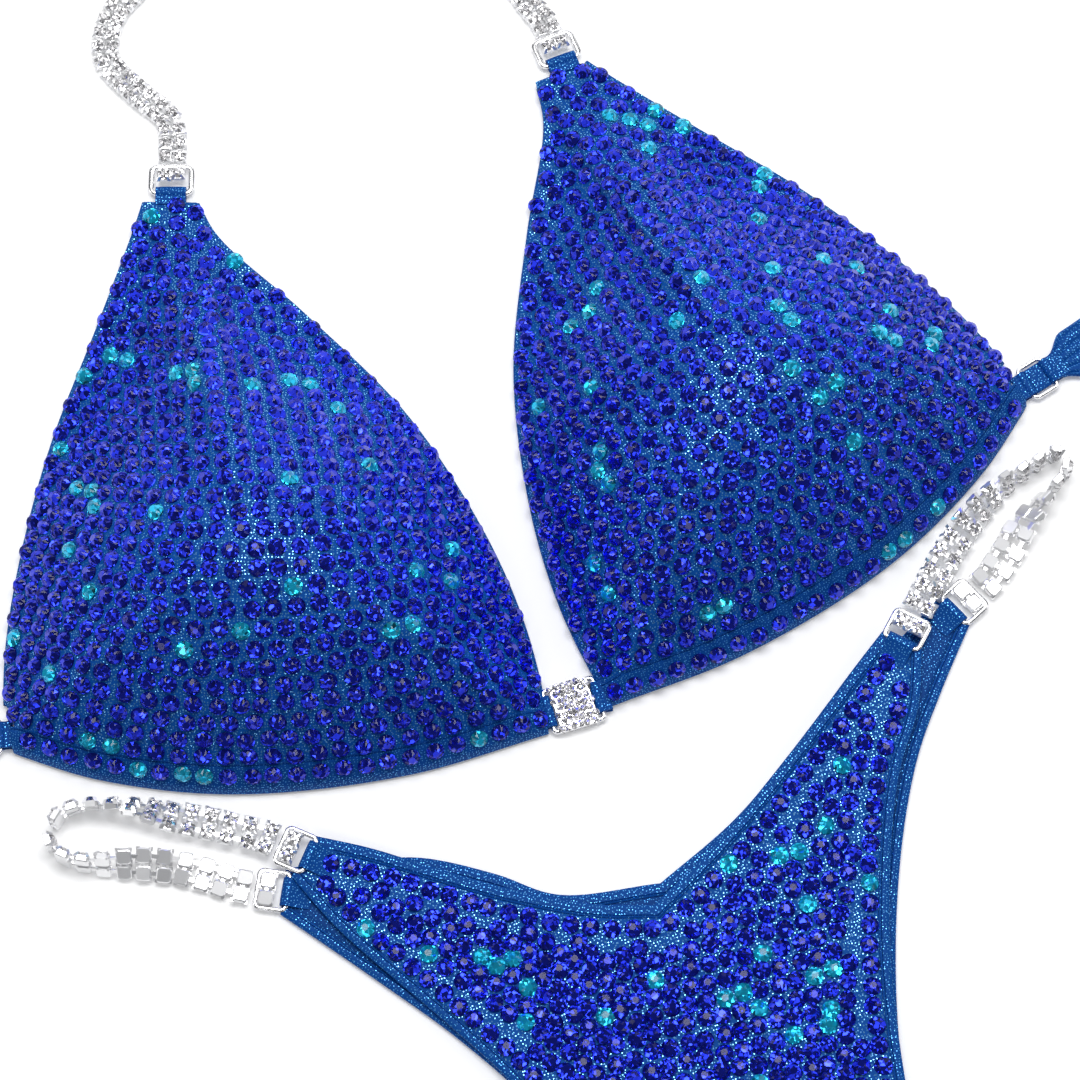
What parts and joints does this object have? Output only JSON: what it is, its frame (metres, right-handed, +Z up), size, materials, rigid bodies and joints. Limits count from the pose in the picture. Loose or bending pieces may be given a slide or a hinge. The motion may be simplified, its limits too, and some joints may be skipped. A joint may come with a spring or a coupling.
{
  "type": "two-piece stage competition suit",
  "caption": "Two-piece rhinestone stage suit laid flat: moulded triangle cups on a jewelled connector, neck chains and back straps, and a bottom with chained hips.",
  "frame": {"origin": "centre of the flat underside of the centre connector, on the surface that the suit lies on", "axes": "X to the wearer's left cup side as seen from above with the waist below, Y from the bottom towards the neck, Z up from the surface, normal to the flat underside"},
  "size_m": [0.471, 0.5565, 0.0436],
  "materials": {
    "foil_spandex": "royal blue stretch fabric with fine foil dots",
    "lining_tricot": "matt blue tricot",
    "foam": "moulded foam pad",
    "sapphire_stones": "foil-backed faceted glass in sapphire and aqua",
    "clear_stone_chain": "silver claw cups set with clear faceted stones",
    "polished_silver": "polished silver-plated wire and plate"
  },
  "bodies": {
    "cup_left": {"lining_left": "lining_tricot", "foam_pad_left": "foam", "cup_fabric_left": "foil_spandex", "cup_stones_left": "sapphire_stones", "hem_casing_left": "foil_spandex", "outer_binding_left": "foil_spandex", "inner_binding_left": "foil_spandex", "apex_loop_left": "foil_spandex", "centre_loop_left": "foil_spandex", "side_loop_left": "foil_spandex"},
    "connector": {"connector_plate": "polished_silver", "connector_stones": "clear_stone_chain"},
    "cup_right": {"lining_right": "lining_tricot", "foam_pad_right": "foam", "cup_fabric_right": "foil_spandex", "cup_stones_right": "sapphire_stones", "hem_casing_right": "foil_spandex", "outer_binding_right": "foil_spandex", "inner_binding_right": "foil_spandex", "apex_loop_right": "foil_spandex", "centre_loop_right": "foil_spandex", "side_loop_right": "foil_spandex"},
    "neck_ring_left": {"neck_ring_left": "polished_silver"},
    "neck_chain_lower_left": {"neck_chain_lower_left": "clear_stone_chain"},
    "neck_chain_upper_left": {"neck_chain_upper_left": "clear_stone_chain"},
    "neck_ring_right": {"neck_ring_right": "polished_silver"},
    "neck_chain_lower_right": {"neck_chain_lower_right": "clear_stone_chain"},
    "neck_chain_upper_right": {"neck_chain_upper_right": "clear_stone_chain"},
    "neck_hook": {"neck_hook": "polished_silver"},
    "neck_eye": {"neck_eye": "polished_silver"},
    "side_ring_left": {"side_ring_left": "polished_silver"},
    "back_strap_left": {"back_strap_left": "foil_spandex", "back_hook": "polished_silver"},
    "side_ring_right": {"side_ring_right": "polished_silver"},
    "back_strap_right": {"back_strap_right": "foil_spandex", "back_eye": "polished_silver"},
    "bottom_back": {"back_panel": "foil_spandex", "back_lining": "lining_tricot", "back_waist_binding": "foil_spandex", "back_leg_right_binding": "foil_spandex", "back_leg_left_binding": "foil_spandex", "back_tab_right": "foil_spandex", "back_tab_left": "foil_spandex", "crotch_gusset": "lining_tricot"},
    "bottom_front": {"front_panel": "foil_spandex", "front_lining": "lining_tricot", "front_stones": "sapphire_stones", "front_waist_binding": "foil_spandex", "front_leg_right_binding": "foil_spandex", "front_leg_left_binding": "foil_spandex", "front_tab_right": "foil_spandex", "front_tab_left": "foil_spandex"},
    "front_hip_ring_right": {"front_hip_ring_right": "polished_silver"},
    "hip_chain_front_right": {"hip_chain_front_right": "clear_stone_chain"},
    "hip_chain_back_right": {"hip_chain_back_right": "clear_stone_chain"},
    "back_hip_ring_right": {"back_hip_ring_right": "polished_silver"},
    "front_hip_ring_left": {"front_hip_ring_left": "polished_silver"},
    "hip_chain_front_left": {"hip_chain_front_left": "clear_stone_chain"},
    "hip_chain_back_left": {"hip_chain_back_left": "clear_stone_chain"},
    "back_hip_ring_left": {"back_hip_ring_left": "polished_silver"}
  },
  "joints": [
    {"name": "centre_left_pivot", "type": "hinge", "parent": "cup_left", "child": "connector", "pos_m": [-0.00669, -0.00205, 0.00195], "axis": [0.2924, -0.9563, 0], "range_deg": [-40, 30]},
    {"name": "centre_right_pivot", "type": "hinge", "parent": "connector", "child": "cup_right", "pos_m": [0.00669, 0.00205, 0.00195], "axis": [0.2924, -0.9563, 0], "range_deg": [-40, 30]},
    {"name": "neck_ring_left_pivot", "type": "hinge", "parent": "cup_left", "child": "neck_ring_left", "pos_m": [-0.11258, 0.14895, 0.00195], "axis": [1, 0, 0], "range_deg": [-75, 75]},
    {"name": "neck_chain_left_pivot", "type": "hinge", "parent": "neck_ring_left", "child": "neck_chain_lower_left", "pos_m": [-0.11258, 0.15695, 0.00195], "axis": [1, 0, 0], "range_deg": [-70, 70]},
    {"name": "neck_chain_left_bend", "type": "hinge", "parent": "neck_chain_lower_left", "child": "neck_chain_upper_left", "pos_m": [-0.11471, 0.2259, 0.0017], "axis": [0.808, -0.5892, 0], "range_deg": [-35, 35]},
    {"name": "neck_hook_pivot", "type": "hinge", "parent": "neck_chain_upper_left", "child": "neck_hook", "pos_m": [-0.07489, 0.30316, 0.0017], "axis": [0.9231, -0.3846, 0], "range_deg": [-45, 45]},
    {"name": "neck_ring_right_pivot", "type": "hinge", "parent": "cup_right", "child": "neck_ring_right", "pos_m": [-0.00288, 0.18961, 0.00195], "axis": [0.9272, 0.3746, 0], "range_deg": [-75, 75]},
    {"name": "neck_chain_right_pivot", "type": "hinge", "parent": "neck_ring_right", "child": "neck_chain_lower_right", "pos_m": [-0.00588, 0.19703, 0.00195], "axis": [0.9272, 0.3746, 0], "range_deg": [-70, 70]},
    {"name": "neck_chain_right_bend", "type": "hinge", "parent": "neck_chain_lower_right", "child": "neck_chain_upper_right", "pos_m": [-0.01728, 0.25999, 0.0017], "axis": [0.8753, -0.4836, 0], "range_deg": [-35, 35]},
    {"name": "neck_eye_pivot", "type": "hinge", "parent": "neck_chain_upper_right", "child": "neck_eye", "pos_m": [-0.0442, 0.31207, 0.0017], "axis": [0.2577, 0.9662, 0], "range_deg": [-45, 45]},
    {"name": "side_ring_left_pivot", "type": "hinge", "parent": "cup_left", "child": "side_ring_left", "pos_m": [-0.15345, -0.00861, 0.00195], "axis": [-0.1028, 0.9947, 0], "range_deg": [-45, 45]},
    {"name": "back_strap_left_pivot", "type": "hinge", "parent": "side_ring_left", "child": "back_strap_left", "pos_m": [-0.16111, -0.00941, 0.00195], "axis": [-0.1028, 0.9947, 0], "range_deg": [-45, 45]},
    {"name": "side_ring_right_pivot", "type": "hinge", "parent": "cup_right", "child": "side_ring_right", "pos_m": [0.12513, 0.09146, 0.00195], "axis": [0.5446, -0.8387, 0], "range_deg": [-45, 45]},
    {"name": "back_strap_right_pivot", "type": "hinge", "parent": "side_ring_right", "child": "back_strap_right", "pos_m": [0.13159, 0.09566, 0.00195], "axis": [0.5446, -0.8387, 0], "range_deg": [-45, 45]},
    {"name": "bottom_lift", "type": "slide", "parent": "cup_left", "child": "bottom_back", "axis": [0, 0, 1], "range_m": [0, 0.15]},
    {"name": "crotch_fold", "type": "hinge", "parent": "bottom_back", "child": "bottom_front", "pos_m": [0.08878, -0.22593, 0.002], "axis": [0.9373, 0.3486, 0], "range_deg": [0, 100], "deforming": ["crotch_gusset"]},
    {"name": "front_hip_ring_right_pivot", "type": "hinge", "parent": "bottom_front", "child": "front_hip_ring_right", "pos_m": [0.08803, 0.01678, 0.0042], "axis": [0.8829, -0.4695, 0], "range_deg": [0, 75]},
    {"name": "hip_chain_right_pivot", "type": "hinge", "parent": "front_hip_ring_right", "child": "hip_chain_front_right", "pos_m": [0.09188, 0.02402, 0.0042], "axis": [0.8829, -0.4695, 0], "range_deg": [0, 60]},
    {"name": "hip_chain_right_fold", "type": "hinge", "parent": "hip_chain_front_right", "child": "hip_chain_back_right", "pos_m": [0.13503, 0.06968, 0.0047], "axis": [0, 0, 1], "range_deg": [0, 90]},
    {"name": "back_hip_ring_right_pivot", "type": "hinge", "parent": "bottom_back", "child": "back_hip_ring_right", "pos_m": [0.1028, 0.02612, 0.00195], "axis": [0.6743, -0.7385, 0], "range_deg": [0, 6]},
    {"name": "front_hip_ring_left_pivot", "type": "hinge", "parent": "bottom_front", "child": "front_hip_ring_left", "pos_m": [-0.0699, -0.04195, 0.0042], "axis": [0.3907, 0.9205, 0], "range_deg": [0, 75]},
    {"name": "hip_chain_left_pivot", "type": "hinge", "parent": "front_hip_ring_left", "child": "hip_chain_front_left", "pos_m": [-0.07745, -0.03875, 0.0042], "axis": [0.3907, 0.9205, 0], "range_deg": [0, 60]},
    {"name": "hip_chain_left_fold", "type": "hinge", "parent": "hip_chain_front_left", "child": "hip_chain_back_left", "pos_m": [-0.1389, -0.03495, 0.0047], "axis": [0, 0, -1], "range_deg": [0, 90]},
    {"name": "back_hip_ring_left_pivot", "type": "hinge", "parent": "bottom_back", "child": "back_hip_ring_left", "pos_m": [-0.07559, -0.05132, 0.00195], "axis": [0.1392, 0.9903, 0], "range_deg": [0, 45]}
  ]
}
